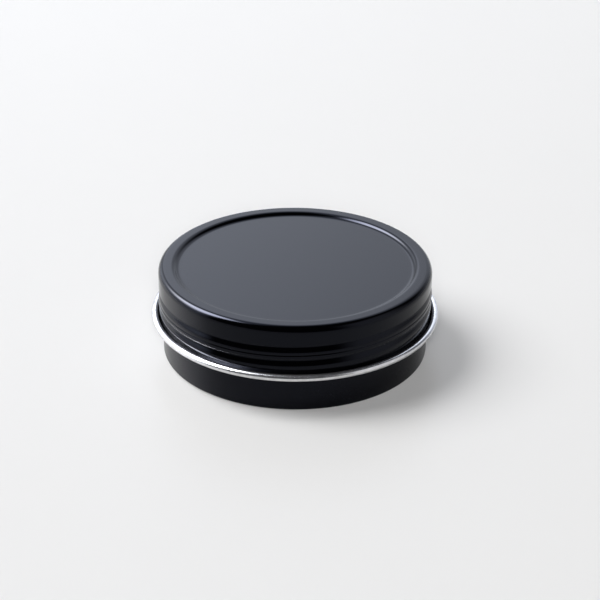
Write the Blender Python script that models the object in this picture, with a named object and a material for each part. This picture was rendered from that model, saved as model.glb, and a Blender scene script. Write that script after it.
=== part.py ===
"""Round screw-lid tin of shoe polish: drawn cup, wax cake, foam liner and drawn lid with a rolled edge.

The frame is metres with +Z up. The origin is the centre of the cup's flat underside, on the thread's axis,
and the tin stands closed.
"""

import math

import bmesh
import bpy

MM = 0.001

# Sheet and turning
SHEET = 0.40 * MM
STEPS = 72  # flats around every turned piece

# Thread, single start and right handed. A turn number n counts turns counter-clockwise from +X.
PITCH = 3.60 * MM
THREAD_DEPTH = 0.55 * MM
THREAD_FADE = 0.16  # turns over which each end of the thread dies out

# Lid, outer faces
LID_TOP_Z = 22.90 * MM
LID_R = 34.00 * MM
PANEL_DEPTH = 0.80 * MM
PANEL_R = 28.80 * MM
PANEL_STEP = 2.05 * MM
SHOULDER_RADIAL = 1.50 * MM
SHOULDER_DROP = 1.80 * MM
LID_THREAD_RISE = 2.10 * MM  # from the flare up to the groove's lower side at turn 0
LID_THREAD_SPAN = 8.10 * MM  # height of the wall that the groove climbs through
LID_THREAD_TURNS = (-0.74, 1.24)
GROOVE_WIDTH = 1.95 * MM
GROOVE_LOW_SIDE = 1.56 * MM  # the long lower flank of the groove, of its whole width

# Lid edge, rolled outwards. The radii are those of the middle of the sheet.
FLARE_RADIUS = 1.95 * MM
FLARE_ANGLE = 60.0
CURL_RADIUS = 0.65 * MM
CURL_Z = 10.05 * MM
CURL_END_ANGLE = 510.0

# Cup
CUP_R = 33.10 * MM
CUP_CORNER = 0.75 * MM
NECK_R = 32.70 * MM
NECK_STEP_LOW = 10.60 * MM
NECK_STEP_HIGH = 11.00 * MM
CUP_THREAD_BOTTOM = 11.54 * MM
CUP_THREAD_ZERO = 11.66 * MM  # lower side of the bead at turn 0
CUP_THREAD_TURNS = (-0.02, 1.56)
BEAD_WIDTH = 1.80 * MM
RIM_TOP_Z = 20.20 * MM
RIM_RADIUS = 0.60 * MM  # middle of the sheet
RIM_END_ANGLE = 225.0

# Fillings
GAP = 0.30 * MM
LINER_R = 33.10 * MM
LINER_THICKNESS = 0.90 * MM
LINER_EDGE = 0.15 * MM
WAX_TOP_Z = 15.20 * MM
WAX_MENISCUS = 0.35 * MM
WAX_DISH = 0.15 * MM
WAX_CORNER = 0.60 * MM


def arc(centre, radius, start, end, pieces, radius_z=None):
    """Points (r, z) along an arc from angle start to end in degrees, both ends included."""
    tall = radius if radius_z is None else radius_z
    points = []
    for k in range(pieces + 1):
        angle = math.radians(start + (end - start) * k / pieces)
        points.append((centre[0] + radius * math.cos(angle), centre[1] + tall * math.sin(angle)))
    return points


def add_ring(bm, point):
    """A level circle of vertices at (r, z), or one vertex on the axis where r is 0."""
    radius, height = point
    if radius == 0.0:
        return [bm.verts.new((0.0, 0.0, height))] * STEPS
    ring = []
    for i in range(STEPS):
        angle = 2.0 * math.pi * i / STEPS
        ring.append(bm.verts.new((radius * math.cos(angle), radius * math.sin(angle), height)))
    return ring


def add_face(bm, corners):
    """A face through the corners, with repeated ones left out."""
    kept = []
    for vert in corners:
        if vert not in kept:
            kept.append(vert)
    if len(kept) >= 3:
        bm.faces.new(kept)


def join_rings(bm, first, second):
    """The band of faces between two rings that follow one another along a profile."""
    for i in range(STEPS):
        j = (i + 1) % STEPS
        add_face(bm, (first[i], second[i], second[j], first[j]))


def add_profile(bm, points, ring=None):
    """Turns a run of profile points, joined to the ring before it, and returns its last ring."""
    for point in points:
        following = add_ring(bm, point)
        if ring is not None:
            join_rings(bm, ring, following)
        ring = following
    return ring


def thread_strength(turn, turns):
    """1 along the thread, easing to 0 over THREAD_FADE at both of its ends."""
    reach = min(turn - turns[0], turns[1] - turn) / THREAD_FADE
    reach = max(0.0, min(1.0, reach))
    return reach * reach * (3.0 - 2.0 * reach)


def add_thread(bm, wall_r, low, high, zero, turns, section, low_ring=None, high_ring=None):
    """A threaded wall between two levels, with edges that climb along the helix.

    section lists (height along the axis, change of radius) across one thread. Given its low ring, the wall
    faces the axis and is built upwards; given its high ring, it faces outwards and is built downwards.
    Returns the ring at the other end.
    """
    outward = low_ring is None
    if outward:
        low_ring = add_ring(bm, (wall_r, low))
    else:
        high_ring = add_ring(bm, (wall_r, high))
    lines = len(section)
    first = lines * (math.floor((low - zero) / PITCH) - 2)
    last = lines * (math.ceil((high - zero) / PITCH) + 1)
    snap = 0.25 * PITCH / STEPS
    made = {}

    def vertex(line, i):
        if i == STEPS:
            line, i = line + lines, 0
        turn = line // lines + i / STEPS
        height, change = section[line % lines]
        z = zero + height + PITCH * turn
        if z <= low + snap:
            return low_ring[i]
        if z >= high - snap:
            return high_ring[i]
        if (line, i) not in made:
            radius = wall_r + change * thread_strength(turn, turns)
            angle = 2.0 * math.pi * i / STEPS
            made[line, i] = bm.verts.new((radius * math.cos(angle), radius * math.sin(angle), z))
        return made[line, i]

    for i in range(STEPS):
        for line in range(first, last):
            corners = [vertex(line, i), vertex(line, i + 1), vertex(line + 1, i + 1), vertex(line + 1, i)]
            if not outward:
                corners.reverse()
            add_face(bm, corners)
    return low_ring if outward else high_ring


def finish_piece(name, bm, colour, roughness, metallic, sharp=35.0):
    """Makes the object with its own material, shaded smooth except across sharp edges."""
    mesh = bpy.data.meshes.new(name)
    bm.to_mesh(mesh)
    bm.free()
    mesh.shade_smooth()
    mesh.set_sharp_from_angle(angle=math.radians(sharp))
    material = bpy.data.materials.new(name)
    material.use_nodes = True
    shader = material.node_tree.nodes["Principled BSDF"]
    shader.inputs["Base Color"].default_value = (*colour, 1.0)
    shader.inputs["Roughness"].default_value = roughness
    shader.inputs["Metallic"].default_value = metallic
    mesh.materials.append(material)
    piece = bpy.data.objects.new(name, mesh)
    bpy.context.scene.collection.objects.link(piece)
    return piece


def panel_step(drop):
    """The lid's step from the recessed panel up to the flat ring, lowered by drop for the underside.

    Two equal arcs meet halfway, the lower one hollow and the upper one round.
    """
    turned = math.degrees(2.0 * math.atan(PANEL_DEPTH / PANEL_STEP))
    radius = 0.5 * PANEL_STEP / math.sin(math.radians(turned))
    hollow = (PANEL_R, LID_TOP_Z - PANEL_DEPTH + radius)
    crest = (PANEL_R + PANEL_STEP, LID_TOP_Z - radius)
    points = arc(hollow, radius, 270.0, 270.0 + turned, 3)
    points += arc(crest, radius, 90.0 + turned, 90.0, 3)[1:]
    return [(r, z - drop) for r, z in points]


def shoulder(inset):
    """The rounded corner from the flat ring to the skirt, inset by the sheet for the inner face."""
    centre = (LID_R - SHOULDER_RADIAL, LID_TOP_Z - SHOULDER_DROP)
    return arc(centre, SHOULDER_RADIAL - inset, 90.0, 0.0, 5, SHOULDER_DROP - inset)


def lid_edge_centres():
    """Centres (r, z) of the flare's arc and of the curl's arc, which meet in one tangent."""
    turned = math.radians(FLARE_ANGLE)
    flare_r = LID_R - 0.5 * SHEET + FLARE_RADIUS
    shift = FLARE_RADIUS - CURL_RADIUS
    return (flare_r, CURL_Z + shift * math.sin(turned)), (flare_r - shift * math.cos(turned), CURL_Z)


def lid_edge(side, flare_pieces, curl_pieces):
    """One face of the flare and curl at the skirt's foot, side being its distance from mid sheet."""
    flare_centre, curl_centre = lid_edge_centres()
    turned = 180.0 + FLARE_ANGLE
    flare = arc(flare_centre, FLARE_RADIUS + side, 180.0, turned, flare_pieces)
    curl = arc(curl_centre, CURL_RADIUS + side, turned, CURL_END_ANGLE, curl_pieces)
    return flare + curl[1:]


def make_lid():
    """The lid, one sheet: panel, step, ring, shoulder, threaded skirt, flare and curl."""
    groove = [
        (0.0, 0.0),
        (0.50 * GROOVE_LOW_SIDE, -0.50 * THREAD_DEPTH),
        (GROOVE_LOW_SIDE, -THREAD_DEPTH),
        (GROOVE_LOW_SIDE + 0.50 * (GROOVE_WIDTH - GROOVE_LOW_SIDE), -0.75 * THREAD_DEPTH),
        (GROOVE_WIDTH, 0.0),
    ]
    low = lid_edge_centres()[0][1]
    high = low + LID_THREAD_SPAN
    thread = (low, high, low + LID_THREAD_RISE, LID_THREAD_TURNS, groove)
    bm = bmesh.new()
    outside = [(0.0, LID_TOP_Z - PANEL_DEPTH)] + panel_step(0.0) + shoulder(0.0)
    ring = add_profile(bm, outside + [(LID_R, high)])
    ring = add_thread(bm, LID_R, *thread, high_ring=ring)
    outer_face = lid_edge(-0.5 * SHEET, 3, 5)
    inner_face = lid_edge(0.5 * SHEET, 3, 7)
    ring = add_profile(bm, outer_face[1:] + inner_face[::-1], ring)
    ring = add_thread(bm, LID_R - SHEET, *thread, low_ring=ring)
    inside = panel_step(SHEET) + shoulder(SHEET)
    add_profile(bm, inside[::-1] + [(0.0, LID_TOP_Z - PANEL_DEPTH - SHEET)], ring)
    return finish_piece("lid_shell", bm, (0.012, 0.012, 0.014), 0.28, 0.2)


def make_liner():
    """The foam sealing disc under the lid's panel."""
    top = LID_TOP_Z - PANEL_DEPTH - SHEET - GAP
    bottom = top - LINER_THICKNESS
    bm = bmesh.new()
    profile = [
        (0.0, top),
        (LINER_R - LINER_EDGE, top),
        (LINER_R, top - LINER_EDGE),
        (LINER_R, bottom + LINER_EDGE),
        (LINER_R - LINER_EDGE, bottom),
        (0.0, bottom),
    ]
    add_profile(bm, profile)
    return finish_piece("lid_liner", bm, (0.83, 0.83, 0.80), 0.85, 0.0)


def make_cup():
    """The cup, one sheet: floor, corner, wall, threaded neck and the rim rolled inwards."""
    bead = [
        (0.0, 0.0),
        (0.27 * BEAD_WIDTH, 0.75 * THREAD_DEPTH),
        (0.50 * BEAD_WIDTH, THREAD_DEPTH),
        (0.73 * BEAD_WIDTH, 0.75 * THREAD_DEPTH),
        (BEAD_WIDTH, 0.0),
    ]
    half = 0.5 * SHEET
    corner = (CUP_R - CUP_CORNER, CUP_CORNER)
    rim = (NECK_R - half - RIM_RADIUS, RIM_TOP_Z - half - RIM_RADIUS)
    thread = (CUP_THREAD_BOTTOM, rim[1], CUP_THREAD_ZERO, CUP_THREAD_TURNS, bead)
    bm = bmesh.new()
    inside = [(0.0, SHEET)] + arc(corner, CUP_CORNER - SHEET, 270.0, 360.0, 4)
    inside += [(CUP_R - SHEET, NECK_STEP_LOW), (NECK_R - SHEET, NECK_STEP_HIGH)]
    ring = add_profile(bm, inside + [(NECK_R - SHEET, CUP_THREAD_BOTTOM)])
    ring = add_thread(bm, NECK_R - SHEET, *thread, low_ring=ring)
    curl = arc(rim, RIM_RADIUS - half, 0.0, RIM_END_ANGLE, 5)[1:]
    curl += arc(rim, RIM_RADIUS + half, RIM_END_ANGLE, 0.0, 7)
    ring = add_profile(bm, curl, ring)
    ring = add_thread(bm, NECK_R, *thread, high_ring=ring)
    outside = [(NECK_R, NECK_STEP_HIGH), (CUP_R, NECK_STEP_LOW)]
    outside += arc(corner, CUP_CORNER, 360.0, 270.0, 5)
    add_profile(bm, outside + [(0.0, 0.0)], ring)
    return finish_piece("base_cup", bm, (0.010, 0.010, 0.012), 0.40, 0.2)


def make_wax():
    """The cast cake of polish, a little dished, with a small meniscus at its edge."""
    wall = CUP_R - SHEET - GAP
    neck = NECK_R - SHEET - GAP
    bottom = SHEET + GAP
    corner = (wall - WAX_CORNER, bottom + WAX_CORNER)
    bm = bmesh.new()
    profile = [
        (0.0, WAX_TOP_Z - WAX_DISH),
        (0.60 * neck, WAX_TOP_Z - 0.8 * WAX_DISH),
        (neck - 3.0 * WAX_MENISCUS, WAX_TOP_Z),
        (neck - WAX_MENISCUS, WAX_TOP_Z + 0.4 * WAX_MENISCUS),
        (neck, WAX_TOP_Z + WAX_MENISCUS),
        (neck, NECK_STEP_HIGH - 0.5 * GAP),
        (wall, NECK_STEP_LOW - 0.5 * GAP),
    ]
    profile += arc(corner, WAX_CORNER, 360.0, 270.0, 3)
    profile.append((0.0, bottom))
    add_profile(bm, profile)
    return finish_piece("polish_cake", bm, (0.020, 0.018, 0.017), 0.30, 0.0)


def main():
    for existing in list(bpy.data.objects):
        bpy.data.objects.remove(existing)
    make_cup()
    make_wax()
    # The lid and its liner turn and rise together about the thread's axis.
    screw_axis = bpy.data.objects.new("screw_axis", None)
    bpy.context.scene.collection.objects.link(screw_axis)
    for piece in (make_lid(), make_liner()):
        piece.parent = screw_axis


main()
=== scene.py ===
import math

import bpy
from mathutils import Matrix, Vector, noise
import numpy as np


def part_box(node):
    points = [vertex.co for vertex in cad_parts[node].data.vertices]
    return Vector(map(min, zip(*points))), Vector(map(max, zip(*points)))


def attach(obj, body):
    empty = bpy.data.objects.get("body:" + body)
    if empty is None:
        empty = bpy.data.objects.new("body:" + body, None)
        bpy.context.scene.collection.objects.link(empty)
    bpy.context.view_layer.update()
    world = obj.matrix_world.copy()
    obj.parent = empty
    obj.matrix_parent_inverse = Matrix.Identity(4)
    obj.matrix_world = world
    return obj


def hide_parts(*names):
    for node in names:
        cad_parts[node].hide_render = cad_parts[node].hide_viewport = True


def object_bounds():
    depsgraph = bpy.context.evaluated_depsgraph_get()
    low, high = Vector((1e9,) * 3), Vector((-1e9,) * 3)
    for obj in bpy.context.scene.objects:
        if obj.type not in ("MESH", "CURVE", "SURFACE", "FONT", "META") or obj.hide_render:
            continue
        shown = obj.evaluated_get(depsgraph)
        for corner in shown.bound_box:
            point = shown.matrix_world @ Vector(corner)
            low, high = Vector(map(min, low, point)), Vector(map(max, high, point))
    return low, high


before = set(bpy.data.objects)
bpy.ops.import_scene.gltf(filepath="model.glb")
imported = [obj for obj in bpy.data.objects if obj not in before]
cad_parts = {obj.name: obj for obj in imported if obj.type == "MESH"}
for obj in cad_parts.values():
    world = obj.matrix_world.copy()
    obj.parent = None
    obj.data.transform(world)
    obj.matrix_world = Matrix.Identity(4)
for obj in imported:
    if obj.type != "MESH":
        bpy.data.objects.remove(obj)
box_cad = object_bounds()

MM = 0.001
STEPS = 320  # columns round every turned piece

# Sheet and thread, as in the CAD. The thread has a single start and is right handed.
SHEET = 0.40 * MM
PITCH = 3.60 * MM
THREAD_DEPTH = 0.55 * MM
THREAD_FADE = 0.16  # turns over which each end of the thread dies out

# Lid, as in the CAD. The radii of the rolled edge are those of the middle of the sheet.
LID_R = 34.00 * MM
PANEL_R = 28.80 * MM
PANEL_DEPTH = 0.80 * MM
PANEL_STEP = 2.05 * MM
SHOULDER_RADIAL = 1.50 * MM
SHOULDER_DROP = 1.80 * MM
LID_THREAD_RISE = 2.10 * MM  # from the flare up to the groove's lower side at turn 0
LID_THREAD_SPAN = 8.10 * MM  # height of the wall that the groove climbs through
LID_THREAD_TURNS = (-0.74, 1.24)
GROOVE_WIDTH = 1.95 * MM
GROOVE_LOW_SIDE = 1.56 * MM  # the long lower flank of the groove, of its whole width
FLARE_RADIUS = 1.95 * MM
FLARE_ANGLE = 60.0
CURL_RADIUS = 0.65 * MM
CURL_END_ANGLE = 510.0

# A faint crease above the groove, where the wall steps back. The CAD leaves it out.
CREASE_HEIGHT = 2.95 * MM  # over the groove's lower side
CREASE_WIDTH = 0.34 * MM
CREASE_STEP = 0.12 * MM
CREASE_SWELL = 0.50 * MM  # height over which the wall swells out below the crease
CREASE_TURNS = (-0.80, 0.45)
CREASE_FADE = 0.25

# Cup, as in the CAD. Heights are from its underside. The rim's radius is that of the middle of the sheet.
CUP_R = 33.10 * MM
CUP_CORNER = 0.75 * MM
NECK_R = 32.70 * MM
NECK_STEP_LOW = 10.60 * MM
NECK_STEP_HIGH = 11.00 * MM
CUP_THREAD_BOTTOM = 11.54 * MM
CUP_THREAD_ZERO = 11.66 * MM  # lower side of the bead at turn 0
CUP_THREAD_TURNS = (-0.02, 1.56)
BEAD_WIDTH = 1.80 * MM
RIM_RADIUS = 0.60 * MM
RIM_END_ANGLE = 225.0

lid_low, lid_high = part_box("lid_shell")
cup_low, cup_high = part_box("base_cup")
liner_low, liner_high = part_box("lid_liner")
wax_low, wax_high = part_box("polish_cake")


# ---------------------------------------------------------------- turned sheet metal

class Turned:
    """Collects the vertices and faces of one turned piece, ring after ring along its profile."""

    def __init__(self):
        self.steps = STEPS
        self.verts = []
        self.faces = []
        self.slots = []
        self.slot = 0
        turn = 2.0 * math.pi / self.steps
        self.cos = [math.cos(turn * i) for i in range(self.steps)]
        self.sin = [math.sin(turn * i) for i in range(self.steps)]

    def vert(self, radius, i, z):
        self.verts.append((radius * self.cos[i], radius * self.sin[i], z))
        return len(self.verts) - 1

    def ring(self, point):
        radius, z = point
        if radius == 0.0:
            self.verts.append((0.0, 0.0, z))
            return [len(self.verts) - 1] * self.steps
        return [self.vert(radius, i, z) for i in range(self.steps)]

    def face(self, corners):
        kept = list(dict.fromkeys(corners))
        if len(kept) >= 3:
            self.faces.append(kept)
            self.slots.append(self.slot)

    def profile(self, points, ring=None):
        """Adds a run of (r, z) points after a ring and returns the last ring.

        The metal is on the run's right.
        """
        for point in points:
            following = self.ring(point)
            if ring is not None:
                for i in range(self.steps):
                    j = (i + 1) % self.steps
                    self.face((ring[i], following[i], following[j], ring[j]))
            ring = following
        return ring

    def thread(self, wall_r, low, high, zero, section, low_ring=None, high_ring=None):
        """A wall whose edges climb along the helix. section lists (height in the pitch, change(turn)).

        An outer face is given its high ring and an inner face its low ring, and returns its other one.
        """
        outward = low_ring is None
        if outward:
            low_ring = self.ring((wall_r, low))
        else:
            high_ring = self.ring((wall_r, high))
        lines = len(section)
        first = lines * (math.floor((low - zero) / PITCH) - 2)
        last = lines * (math.ceil((high - zero) / PITCH) + 1)
        snap = 0.5 * PITCH / self.steps
        made = {}

        def vertex(line, i):
            if i == self.steps:
                line, i = line + lines, 0
            turn = line // lines + i / self.steps
            height, change = section[line % lines]
            z = zero + height + PITCH * turn
            if z <= low + snap:
                return low_ring[i]
            if z >= high - snap:
                return high_ring[i]
            key = (line, i)
            if key not in made:
                made[key] = self.vert(wall_r + change(turn), i, z)
            return made[key]

        for i in range(self.steps):
            for line in range(first, last):
                corners = [vertex(line, i), vertex(line, i + 1)]
                corners += [vertex(line + 1, i + 1), vertex(line + 1, i)]
                self.face(corners if outward else corners[::-1])
        return low_ring if outward else high_ring

    def object(self, name, materials, sharp=32.0):
        mesh = bpy.data.meshes.new(name)
        mesh.from_pydata(self.verts, [], self.faces)
        for material in materials:
            mesh.materials.append(material)
        mesh.polygons.foreach_set("material_index", np.array(self.slots, np.int32))
        mesh.validate()
        mesh.shade_smooth()
        mesh.set_sharp_from_angle(angle=math.radians(sharp))
        piece = bpy.data.objects.new(name, mesh)
        bpy.context.scene.collection.objects.link(piece)
        return piece


def arc(centre, radius, start, end, pieces, radius_z=None):
    """Points (r, z) along an arc from angle start to end in degrees, both ends included."""
    tall = radius if radius_z is None else radius_z
    points = []
    for k in range(pieces + 1):
        angle = math.radians(start + (end - start) * k / pieces)
        points.append((centre[0] + radius * math.cos(angle), centre[1] + tall * math.sin(angle)))
    return points


def spread(start, end, pieces):
    """Evenly spaced values from start up to end, which is left out."""
    return [start + (end - start) * k / pieces for k in range(pieces)]


def ease(x):
    """0 up to 0, 1 from 1 on, and smooth between them."""
    x = max(0.0, min(1.0, x))
    return x * x * (3.0 - 2.0 * x)


def between(turn, turns, fade):
    """1 inside a range of turns, easing to 0 over fade turns at both of its ends."""
    return ease((turn - turns[0]) / fade) * ease((turns[1] - turn) / fade)


def stand_in(piece, body, node):
    """Makes a piece move with a body, in place of a CAD node."""
    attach(piece, body)
    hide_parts(node)


# ---------------------------------------------------------------- materials

class Nodes:
    """A node tree and short ways to add to it."""

    def __init__(self, tree):
        self.tree = tree
        tree.nodes.clear()

    def add(self, kind, **settings):
        node = self.tree.nodes.new(kind)
        for key, value in settings.items():
            setattr(node, key, value)
        return node

    def put(self, socket, value):
        if isinstance(value, bpy.types.NodeSocket):
            self.tree.links.new(value, socket)
        elif value is not None:
            socket.default_value = value

    def math(self, operation, a, b=None, c=None):
        node = self.add("ShaderNodeMath", operation=operation)
        for socket, value in zip(node.inputs, (a, b, c)):
            self.put(socket, value)
        return node.outputs[0]

    def smooth(self, value, low, high, to_low=0.0, to_high=1.0):
        node = self.add("ShaderNodeMapRange", interpolation_type="SMOOTHSTEP")
        for socket, item in zip(node.inputs, (value, low, high, to_low, to_high)):
            self.put(socket, item)
        return node.outputs[0]

    def within(self, value, dark_low, low, high, dark_high):
        """1 between low and high, easing to 0 at the dark values outside them."""
        rise = self.smooth(value, dark_low, low)
        return self.math("MULTIPLY", rise, self.smooth(value, high, dark_high, 1.0, 0.0))

    def noise(self, vector, scale, detail=2.0, rough=0.5):
        node = self.add("ShaderNodeTexNoise")
        self.put(node.inputs["Vector"], vector)
        node.inputs["Scale"].default_value = scale
        node.inputs["Detail"].default_value = detail
        node.inputs["Roughness"].default_value = rough
        return node.outputs["Fac"]

    def scaled(self, vector, factors):
        node = self.add("ShaderNodeVectorMath", operation="MULTIPLY")
        self.put(node.inputs[0], vector)
        node.inputs[1].default_value = factors
        return node.outputs[0]

    def mix(self, factor, a, b):
        node = self.add("ShaderNodeMix", data_type="RGBA")
        self.put(node.inputs[0], factor)
        for socket, value in ((node.inputs[6], a), (node.inputs[7], b)):
            if isinstance(value, tuple):
                value = (*value, 1.0)
            self.put(socket, value)
        return node.outputs[2]

    def bump(self, height, strength, distance, normal=None):
        node = self.add("ShaderNodeBump")
        node.inputs["Strength"].default_value = strength
        node.inputs["Distance"].default_value = distance
        self.put(node.inputs["Height"], height)
        if normal is not None:
            self.put(node.inputs["Normal"], normal)
        return node.outputs[0]


def new_material(name):
    material = bpy.data.materials.new(name)
    material.use_nodes = True
    nodes = Nodes(material.node_tree)
    shader = nodes.add("ShaderNodeBsdfPrincipled")
    out = nodes.add("ShaderNodeOutputMaterial")
    nodes.tree.links.new(shader.outputs[0], out.inputs[0])
    where = nodes.add("ShaderNodeTexCoord").outputs["Object"]
    return material, nodes, shader, where


LACQUER_IOR = 1.27
LACQUER_SHINE = (0.60, 0.65, 0.84, 1.0)  # dims what it mirrors and gives it a faint blue cast


def lacquer(name, colour, roughness, peel):
    """Thin black lacquer over rolled sheet: a weak clear shine, orange peel and a few specks of dust."""
    material, n, shader, where = new_material(name)
    cloud = n.noise(where, 90.0, 3.0)
    dust = n.smooth(n.noise(where, 900.0, 2.0, 0.7), 0.74, 0.78)
    film = n.mix(cloud, tuple(0.7 * c for c in colour), tuple(1.3 * c for c in colour))
    n.put(shader.inputs["Base Color"], n.mix(dust, film, tuple(8.0 * c for c in colour)))
    fine = n.noise(where, 5200.0, 1.0)
    low = n.math("MULTIPLY_ADD", cloud, 0.3 * roughness, 0.75 * roughness)
    n.put(shader.inputs["Roughness"], n.math("MULTIPLY_ADD", fine, 0.2 * roughness, low))
    shader.inputs["IOR"].default_value = LACQUER_IOR
    shader.inputs["Specular Tint"].default_value = LACQUER_SHINE
    skin = n.bump(n.noise(where, 1500.0, 2.0, 0.6), peel, 0.02 * MM)
    n.put(shader.inputs["Normal"], n.bump(n.noise(where, 4200.0, 1.0), 2.5 * peel, 0.01 * MM, skin))
    return material


def bare_metal(name, colour, roughness):
    """Uncoated aluminium sheet: drawing lines around it and fine wrinkles across them."""
    material, n, shader, where = new_material(name)
    split = n.add("ShaderNodeSeparateXYZ")
    n.put(split.inputs[0], where)
    x, y, z = split.outputs
    radius = n.math("SQRT", n.math("ADD", n.math("MULTIPLY", x, x), n.math("MULTIPLY", y, y)))
    turn = n.math("ARCTAN2", y, x)

    def lines(across, along):
        place = n.add("ShaderNodeCombineXYZ")
        n.put(place.inputs[0], n.math("MULTIPLY", radius, across))
        n.put(place.inputs[1], n.math("MULTIPLY", turn, along))
        n.put(place.inputs[2], n.math("MULTIPLY", z, across))
        return n.noise(place.outputs[0], 1.0, 2.0, 0.6)

    drawn = lines(9000.0, 12.0)
    wrinkles = lines(900.0, 130.0)
    cloud = n.noise(where, 700.0, 3.0, 0.6)
    shade = tuple(0.86 * c for c in colour)
    n.put(shader.inputs["Base Color"], n.mix(n.smooth(cloud, 0.35, 0.65), shade, colour))
    shader.inputs["Metallic"].default_value = 0.94
    rough = n.math("MULTIPLY_ADD", cloud, 0.5 * roughness, 0.75 * roughness)
    n.put(shader.inputs["Roughness"], rough)
    around = n.bump(drawn, 0.30, 0.02 * MM)
    n.put(shader.inputs["Normal"], n.bump(wrinkles, 0.30, 0.03 * MM, around))
    return material


def foam_sheet(name):
    """White closed-cell foam: fine bubbles under a matt skin."""
    material, n, shader, where = new_material(name)
    bubbles = n.add("ShaderNodeTexVoronoi")
    n.put(bubbles.inputs["Vector"], where)
    bubbles.inputs["Scale"].default_value = 3200.0
    cloud = n.noise(where, 120.0, 3.0)
    shade = n.mix(cloud, (0.76, 0.76, 0.73), (0.84, 0.84, 0.82))
    cell = n.smooth(bubbles.outputs["Distance"], 0.1, 0.7)
    n.put(shader.inputs["Base Color"], n.mix(n.math("MULTIPLY", cell, 0.30), shade, (0.62, 0.62, 0.60)))
    shader.inputs["Roughness"].default_value = 0.62
    shader.inputs["Subsurface Weight"].default_value = 0.15
    shader.inputs["Subsurface Radius"].default_value = (0.001, 0.001, 0.0009)
    shader.inputs["Subsurface Scale"].default_value = 0.5
    n.put(shader.inputs["Normal"], n.bump(cell, 0.35, 0.04 * MM))
    return material


def polish_wax(name):
    """Black polish: a soft satin skin, cloudy where the solvent has dried off, with a few pinholes."""
    material, n, shader, where = new_material(name)
    cloud = n.noise(where, 110.0, 4.0, 0.6)
    grain = n.noise(where, 2600.0, 3.0, 0.6)
    pits = n.smooth(n.noise(where, 520.0, 1.0), 0.20, 0.27, 1.0, 0.0)
    bloom = n.smooth(cloud, 0.42, 0.72)
    n.put(shader.inputs["Base Color"], n.mix(bloom, (0.006, 0.0055, 0.0055), (0.020, 0.019, 0.019)))
    rough = n.math("MULTIPLY_ADD", bloom, 0.20, 0.26)
    n.put(shader.inputs["Roughness"], n.math("MULTIPLY_ADD", grain, 0.12, rough))
    shader.inputs["IOR"].default_value = 1.44
    smeared = n.bump(n.noise(n.scaled(where, (60.0, 420.0, 60.0)), 1.0, 3.0), 0.25, 0.08 * MM)
    grained = n.bump(grain, 0.22, 0.02 * MM, smeared)
    n.put(shader.inputs["Normal"], n.bump(pits, 0.8, -0.08 * MM, grained))
    return material


lid_black = lacquer("lid_lacquer", (0.0003, 0.0003, 0.0004), roughness=0.11, peel=0.10)
cup_black = lacquer("cup_lacquer", (0.0004, 0.0004, 0.0006), roughness=0.26, peel=0.20)
foam = foam_sheet("white_foam")
wax = polish_wax("black_wax")
bare = bare_metal("bare_aluminium", (0.68, 0.68, 0.69), roughness=0.22)


# ---------------------------------------------------------------- the lid

def groove_lines():
    """The rolled groove across one pitch: a long lower flank, a lip over it, and the crease above."""
    crease_low = CREASE_HEIGHT - 0.5 * CREASE_WIDTH
    crease_high = CREASE_HEIGHT + 0.5 * CREASE_WIDTH
    heights = spread(0.0, GROOVE_LOW_SIDE, 18) + spread(GROOVE_LOW_SIDE, GROOVE_WIDTH, 10)
    heights += spread(GROOVE_WIDTH, crease_low, 6) + spread(crease_low, crease_high, 10)
    heights += spread(crease_high, PITCH, 3)

    def shape(height):
        if height <= GROOVE_LOW_SIDE:
            share = height / GROOVE_LOW_SIDE
            dip = -THREAD_DEPTH * (0.3 * share + 0.7 * ease(share))
        elif height <= GROOVE_WIDTH:
            share = (height - GROOVE_LOW_SIDE) / (GROOVE_WIDTH - GROOVE_LOW_SIDE)
            dip = -THREAD_DEPTH * (1.0 - share ** 2)
        else:
            dip = 0.0
        step = CREASE_STEP * ease((CREASE_HEIGHT - height) / CREASE_WIDTH + 0.5)
        step *= ease((height - 0.9 * GROOVE_WIDTH) / CREASE_SWELL)

        def change(turn):
            groove = dip * between(turn, LID_THREAD_TURNS, THREAD_FADE)
            return groove + step * between(turn, CREASE_TURNS, CREASE_FADE)

        return change

    return [(height, shape(height)) for height in heights]


def panel_step(top, drop):
    """The pressed step from the recessed panel up to the ring: a hollow arc, then a round one."""
    turned = math.degrees(2.0 * math.atan(PANEL_DEPTH / PANEL_STEP))
    radius = 0.5 * PANEL_STEP / math.sin(math.radians(turned))
    points = arc((PANEL_R, top - PANEL_DEPTH + radius), radius, 270.0, 270.0 + turned, 12)
    points += arc((PANEL_R + PANEL_STEP, top - radius), radius, 90.0 + turned, 90.0, 12)[1:]
    return [(radius, height - drop) for radius, height in points]


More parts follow.
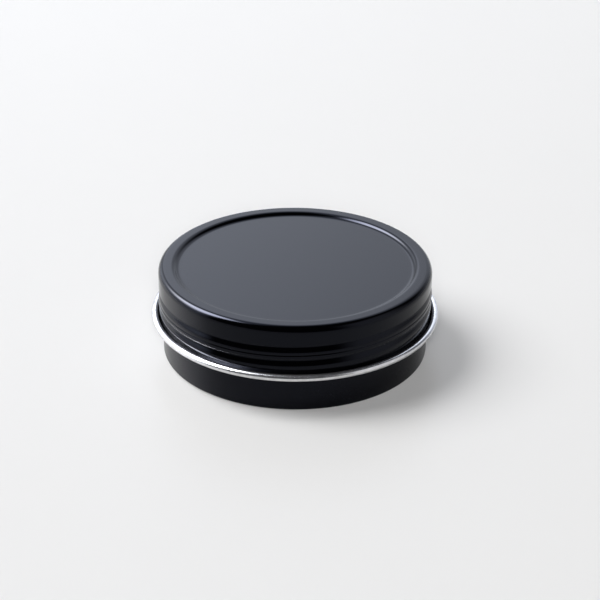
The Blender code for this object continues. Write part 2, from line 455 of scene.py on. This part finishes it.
def make_lid():
    """The outer face from the panel down to the rolled edge, then the bare inner face back up."""
    top = lid_high.z
    panel = top - PANEL_DEPTH
    ring_in = PANEL_R + PANEL_STEP
    shoulder = (LID_R - SHOULDER_RADIAL, top - SHOULDER_DROP)
    turned = math.radians(FLARE_ANGLE)
    curl_z = lid_low.z + CURL_RADIUS + 0.5 * SHEET
    bend = FLARE_RADIUS - CURL_RADIUS
    flare = (LID_R - 0.5 * SHEET + FLARE_RADIUS, curl_z + bend * math.sin(turned))
    curl = (flare[0] - bend * math.cos(turned), curl_z)
    low = flare[1]
    high = low + LID_THREAD_SPAN
    zero = low + LID_THREAD_RISE
    section = groove_lines()

    def edge(side, flare_pieces, curl_pieces):
        flare_end = 180.0 + FLARE_ANGLE
        first = arc(flare, FLARE_RADIUS + side, 180.0, flare_end, flare_pieces)
        second = arc(curl, CURL_RADIUS + side, flare_end, CURL_END_ANGLE, curl_pieces)
        return first + second[1:]

    lid = Turned()
    outside = [(radius, panel) for radius in spread(0.0, 28.0 * MM, 7)]
    outside += [(26.5 * MM, panel), (28.0 * MM, panel)]
    outside += panel_step(top, 0.0)
    outside += [(ring_in + 0.6 * MM, top), (ring_in + 1.2 * MM, top)]
    outside += arc(shoulder, SHOULDER_RADIAL, 90.0, 0.0, 26, SHOULDER_DROP)
    ring = lid.profile(outside + [(LID_R, high + 0.8 * MM), (LID_R, high)])
    ring = lid.thread(LID_R, low, high, zero, section, high_ring=ring)
    ring = lid.profile(edge(-0.5 * SHEET, 14, 26)[1:], ring)
    lid.slot = 1
    ring = lid.profile(edge(0.5 * SHEET, 14, 40)[::-1], ring)
    ring = lid.thread(LID_R - SHEET, low, high, zero, section, low_ring=ring)
    inside = [(radius, panel - SHEET) for radius in (0.0, 12.0 * MM, 24.0 * MM)]
    inside += panel_step(top, SHEET) + [(ring_in + 0.9 * MM, top - SHEET)]
    inside += arc(shoulder, SHOULDER_RADIAL - SHEET, 90.0, 0.0, 12, SHOULDER_DROP - SHEET)
    lid.profile(inside[::-1], ring)
    stand_in(lid.object("lid", [lid_black, bare]), "lid", "lid_shell")


# ---------------------------------------------------------------- the cup

def bead_lines():
    """The rolled bead across one pitch: a round swelling, then plain wall."""
    heights = spread(0.0, BEAD_WIDTH, 18) + spread(BEAD_WIDTH, PITCH, 6)

    def shape(height):
        across = min(height / BEAD_WIDTH, 1.0)
        swell = THREAD_DEPTH * math.sin(math.pi * across) ** 2
        return lambda turn: swell * between(turn, CUP_THREAD_TURNS, THREAD_FADE)

    return [(height, shape(height)) for height in heights]


def make_cup():
    """The bare inner face from the floor up to the rim, then the lacquered outer face back down."""
    floor = cup_low.z
    corner = (CUP_R - CUP_CORNER, floor + CUP_CORNER)
    rim = (NECK_R - 0.5 * SHEET - RIM_RADIUS, cup_high.z - 0.5 * SHEET - RIM_RADIUS)
    low = floor + CUP_THREAD_BOTTOM
    zero = floor + CUP_THREAD_ZERO
    section = bead_lines()
    cup = Turned()
    cup.slot = 1
    inside = [(0.0, floor + SHEET), (16.0 * MM, floor + SHEET)]
    inside += arc(corner, CUP_CORNER - SHEET, 270.0, 360.0, 12)
    inside += [(CUP_R - SHEET, floor + NECK_STEP_LOW), (NECK_R - SHEET, floor + NECK_STEP_HIGH)]
    ring = cup.profile(inside + [(NECK_R - SHEET, low)])
    ring = cup.thread(NECK_R - SHEET, low, rim[1], zero, section, low_ring=ring)
    ring = cup.profile(arc(rim, RIM_RADIUS - 0.5 * SHEET, 0.0, RIM_END_ANGLE, 22)[1:], ring)
    cup.slot = 0
    ring = cup.profile(arc(rim, RIM_RADIUS + 0.5 * SHEET, RIM_END_ANGLE, 0.0, 34), ring)
    ring = cup.thread(NECK_R, low, rim[1], zero, section, high_ring=ring)
    outside = []
    for k in range(9):
        share = k / 8
        drop = (NECK_STEP_HIGH - NECK_STEP_LOW) * share
        outside.append((NECK_R + (CUP_R - NECK_R) * ease(share), floor + NECK_STEP_HIGH - drop))
    outside += [(CUP_R, floor + height * MM) for height in (8.5, 6.5, 4.5, 2.8)]
    outside += arc(corner, CUP_CORNER, 360.0, 270.0, 20)
    outside += [(24.0 * MM, floor), (12.0 * MM, floor), (0.0, floor)]
    cup.profile(outside, ring)
    stand_in(cup.object("cup", [cup_black, bare]), "base", "base_cup")


# ---------------------------------------------------------------- the fillings

def uneven(where, scale, size):
    """A smooth random height about zero, the same on every run."""
    return size * noise.noise(Vector(where) * scale)


def make_liner():
    """Foam disc: skinned faces, a cut edge, and the ring that the cup's rim has pressed into it."""
    edge, top, bottom = liner_high.x, liner_high.z, liner_low.z
    rim_middle, rim_reach, imprint = 31.90 * MM, 0.92 * MM, 0.22 * MM
    soft = 0.14 * MM
    disc = Turned()
    spacing = [edge * (k / 44) for k in range(1, 40)]
    spacing += [rim_middle + rim_reach * (k / 8 - 1.0) for k in range(17)]
    spacing = sorted(radius for radius in spacing if radius < edge - soft - 0.05 * MM)
    profile = [(0.0, top)] + [(radius, top) for radius in spacing[::4]]
    profile += arc((edge - soft, top - soft), soft, 90.0, 0.0, 5)
    profile += [(edge, bottom + soft + (top - bottom - 2.0 * soft) * k / 6) for k in range(5, 0, -1)]
    profile += arc((edge - soft, bottom + soft), soft, 0.0, -90.0, 5)
    profile += [(radius, bottom) for radius in reversed(spacing)] + [(0.0, bottom)]
    disc.profile(profile)
    half_way = 0.5 * (top + bottom)

    def press(point):
        x, y, z = point
        radius = math.hypot(x, y)
        face = abs(z - half_way) / (half_way - bottom)
        if z < half_way and radius < edge - soft:
            pressed = ease(1.0 - abs(radius - rim_middle) / rim_reach)
            z += pressed * (imprint + uneven(point, 160.0, 0.25 * imprint))
            z += abs(uneven(point, 90.0, 0.05 * MM)) + abs(uneven(point, 700.0, 0.03 * MM))
        elif face < 0.8:
            inward = 1.0 - (0.03 * MM + abs(uneven(point, 1500.0, 0.12 * MM))) / radius
            x, y = x * inward, y * inward
        return x, y, z

    disc.verts = [press(point) for point in disc.verts]
    stand_in(disc.object("foam_liner", [foam], sharp=60.0), "liner", "lid_liner")


def make_wax():
    """The cast cake: a dished top that climbs the neck, cooling rings and a shallow sink in the middle."""
    low, neck_low, neck_high = wax_low.z, 10.45 * MM, 10.85 * MM
    wall, neck, corner_r = wax_high.x, 32.00 * MM, 0.60 * MM
    climb, level = wax_high.z, wax_high.z - 0.35 * MM
    reach = 1.6 * MM
    cake = Turned()

    def top(radius):
        rise = (climb - level) * max(0.0, (radius - neck + reach) / reach) ** 3
        dish = -0.15 * MM * (1.0 - ease(radius / (0.9 * neck)))
        rings = 0.012 * MM * math.sin(radius / (0.55 * MM)) * ease(radius / neck - 0.25)
        sink = -0.10 * MM * math.exp(-((radius / (5.0 * MM)) ** 2))
        return level + rise + dish + rings + sink

    radii = [0.45 * MM * k for k in range(68)]
    radii += [neck - reach + reach * k / 12 for k in range(1, 13)]
    profile = [(radius, top(radius)) for radius in radii]
    profile += [(neck, climb - 0.5 * MM), (neck, 0.5 * (climb + neck_high)), (neck, neck_high)]
    profile += [(wall, neck_low), (wall, low + 5.0 * MM)]
    profile += arc((wall - corner_r, low + corner_r), corner_r, 360.0, 270.0, 6)
    profile += [(20.0 * MM, low), (0.0, low)]
    cake.profile(profile)

    def settle(point):
        x, y, z = point
        radius = math.hypot(x, y)
        if z > level - 0.5 * MM and radius < neck - 0.2 * MM:
            z += uneven(point, 60.0, 0.05 * MM) + uneven(point, 260.0, 0.016 * MM)
        elif z > level - 0.5 * MM:
            z -= abs(uneven(point, 120.0, 0.10 * MM))
        return x, y, z

    cake.verts = [settle(point) for point in cake.verts]
    stand_in(cake.object("wax_cake", [wax], sharp=50.0), "base", "polish_cake")


# ---------------------------------------------------------------- stage, light and camera

PAPER = 0.80  # the floor's albedo
PAPER_TINT = (1.0, 0.997, 0.993)
PAPER_HALF = 6.0  # half its width
PAPER_GAP = 0.02 * MM  # it lies this far under the tin
PAPER_LIGHT = 3.16  # irradiance on the open floor

# Lamps that light the floor and cast the soft shadows: azimuth from +X towards +Y, elevation and
# width of the lamp's disc in degrees, and its share of the floor's light. The azimuths, elevations
# and widths are the output of a search program. The shares came from it too, but were then changed.
LAMPS = {
    "front_fill": (270.0, 30.0, 20.0, 0.360),
    "left_softbox": (170.0, 50.0, 40.0, 0.435),
    "left_key": (160.0, 60.0, 20.0, 0.110),
    "rear_wall": (130.0, 20.0, 110.0, 0.095),
}

# What the lacquer and the bare metal mirror, in degrees and radiance. The side is measured from
# straight behind the tin, positive to the left. Each range is (dark, full, full, dark).
COOL = (0.94, 1.0, 1.14)
NEUTRAL = (1.0, 0.99, 1.03)
MIRRORED = {
    "rear_wall": ((-62.0, -22.0, 10.0, 28.0), (-12.0, 42.0, 46.0, 86.0), 2.40, COOL),
    "rear_sweep": ((-95.0, -60.0, 5.0, 25.0), (-20.0, -8.0, 4.0, 24.0), 0.5, COOL),
    "left_spill": ((14.0, 36.0, 96.0, 112.0), (-12.0, 14.0, 66.0, 86.0), 2.2, COOL),
    "left_softbox": ((36.0, 66.0, 86.0, 104.0), (13.0, 42.0, 54.0, 70.0), 41.0, NEUTRAL),
    "right_fill": ((-150.0, -124.0, -104.0, -66.0), (-25.0, -5.0, 35.0, 58.0), 0.9, NEUTRAL),
}
WALL_SLOPE = (-13.0, 13.0, 0.72, 1.42)  # the rear wall grows brighter from right to left
LEAN = 0.3  # the softbox leans left by this much per degree of height
LEAN_ABOUT = 30.0  # the height, in degrees, at which its side range holds as given
ROOM = 0.03  # radiance of everything else
BACKDROP = (0.92, 0.92, 0.92, 1.0)  # what the camera sees past the floor

# The camera stands in front of the tin and over it. Its values are the result of a least-squares fit.
CAMERA_ELEVATION = 27.583  # degrees over the horizon
CAMERA_DISTANCE = 0.488147
CAMERA_ROLL = 0.338  # degrees
CAMERA_LENS = 116.73  # millimetres, as is the sensor's width
CAMERA_SENSOR = 36.0
CAMERA_SHIFT = (0.00826, 0.00657)


def make_floor():
    """Plain pale paper with painted shade: its colour is made a touch darker towards the lower right of
    the view, where less light falls.
    """
    material, n, shader, where = new_material("paper_sweep")
    split = n.add("ShaderNodeSeparateXYZ")
    n.put(split.inputs[0], where)
    # Painted shade: the paper's colour falls off towards the right and the front, in place of the light
    # falling off there.
    across = n.smooth(split.outputs[0], -0.5, 0.5, 1.05, 0.95)
    along = n.smooth(split.outputs[1], -0.5, 0.5, 0.95, 1.05)
    tone = n.math("MULTIPLY_ADD", n.noise(where, 30.0, 3.0), 0.01, PAPER - 0.005)
    tone = n.math("MULTIPLY", tone, n.math("MULTIPLY", across, along))
    grey = n.add("ShaderNodeCombineColor")
    for socket, share in zip(grey.inputs, PAPER_TINT):
        n.put(socket, n.math("MULTIPLY", tone, share))
    n.put(shader.inputs["Base Color"], grey.outputs[0])
    shader.inputs["Roughness"].default_value = 0.32
    shader.inputs["Specular IOR Level"].default_value = 0.08
    mesh = bpy.data.meshes.new("sweep")
    corners = [(PAPER_HALF * x, PAPER_HALF * y, 0.0) for x, y in ((-1, -1), (1, -1), (1, 1), (-1, 1))]
    mesh.from_pydata(corners, [], [(0, 1, 2, 3)])
    mesh.materials.append(material)
    sweep = bpy.data.objects.new("sweep", mesh)
    bpy.context.scene.collection.objects.link(sweep)
    sweep.location.z = box_cad[0].z - PAPER_GAP


def make_lamps():
    for name, (azimuth, elevation, width, share) in LAMPS.items():
        data = bpy.data.lights.new(name, "SUN")
        data.angle = math.radians(width)
        data.energy = share * PAPER_LIGHT / math.sin(math.radians(elevation))
        lamp = bpy.data.objects.new(name, data)
        turn, rise = math.radians(azimuth), math.radians(elevation)
        flat = math.cos(rise)
        towards = Vector((flat * math.cos(turn), flat * math.sin(turn), math.sin(rise)))
        lamp.rotation_euler = towards.to_track_quat("Z", "Y").to_euler()
        lamp.location = 0.5 * towards
        lamp.visible_glossy = False
        bpy.context.scene.collection.objects.link(lamp)


def make_world():
    """The studio as shiny things mirror it. The camera itself sees a plain backdrop."""
    world = bpy.data.worlds.new("studio")
    bpy.context.scene.world = world
    world.use_nodes = True
    world.cycles_visibility.diffuse = False
    n = Nodes(world.node_tree)
    split = n.add("ShaderNodeSeparateXYZ")
    n.put(split.inputs[0], n.add("ShaderNodeTexCoord").outputs["Generated"])
    x, y, z = split.outputs
    degrees = 180.0 / math.pi
    high = n.math("MULTIPLY", n.math("ARCSINE", z), degrees)
    side = n.math("MULTIPLY", n.math("ARCTAN2", n.math("MULTIPLY", x, -1.0), y), degrees)
    leaning = n.math("MULTIPLY_ADD", high, -LEAN, n.math("ADD", side, LEAN_ABOUT * LEAN))
    light = tuple(ROOM * c for c in COOL)
    for name, (sides, heights, radiance, tint) in MIRRORED.items():
        across = leaning if name == "left_softbox" else side
        patch = n.math("MULTIPLY", n.within(across, *sides), n.within(high, *heights))
        if name == "rear_wall":
            patch = n.math("MULTIPLY", patch, n.smooth(side, *WALL_SLOPE))
        lit = n.add("ShaderNodeVectorMath", operation="SCALE")
        lit.inputs[0].default_value = tuple(radiance * c for c in tint)
        n.put(lit.inputs["Scale"], patch)
        total = n.add("ShaderNodeVectorMath", operation="ADD")
        n.put(total.inputs[0], light)
        n.put(total.inputs[1], lit.outputs[0])
        light = total.outputs[0]
    mirrored = n.add("ShaderNodeBackground")
    n.put(mirrored.inputs["Color"], light)
    plain = n.add("ShaderNodeBackground")
    plain.inputs["Color"].default_value = BACKDROP
    pick = n.add("ShaderNodeMixShader")
    n.put(pick.inputs[0], n.add("ShaderNodeLightPath").outputs["Is Camera Ray"])
    n.put(pick.inputs[1], mirrored.outputs[0])
    n.put(pick.inputs[2], plain.outputs[0])
    out = n.add("ShaderNodeOutputWorld")
    n.put(out.inputs[0], pick.outputs[0])


def make_camera():
    """Seen from the front and above, through a long lens."""
    elevation, roll = math.radians(CAMERA_ELEVATION), math.radians(CAMERA_ROLL)
    target = Vector((0.0, 0.0, 0.5 * (box_cad[0].z + box_cad[1].z)))
    forward = Vector((0.0, math.cos(elevation), -math.sin(elevation)))
    level = Vector((1.0, 0.0, 0.0))
    upright = level.cross(forward)
    right = level * math.cos(roll) + upright * math.sin(roll)
    up = upright * math.cos(roll) - level * math.sin(roll)
    data = bpy.data.cameras.new("camera")
    data.sensor_width = CAMERA_SENSOR
    data.lens = CAMERA_LENS
    data.shift_x, data.shift_y = CAMERA_SHIFT
    data.clip_start, data.clip_end = 0.01, 30.0
    camera = bpy.data.objects.new("camera", data)
    turn = Matrix((right, up, -forward)).transposed()
    camera.matrix_world = Matrix.Translation(target - forward * CAMERA_DISTANCE) @ turn.to_4x4()
    bpy.context.scene.collection.objects.link(camera)
    bpy.context.scene.camera = camera


make_lid()
make_cup()
make_liner()
make_wax()
make_floor()
make_lamps()
make_world()
make_camera()
bpy.context.scene.view_settings.view_transform = "Standard"
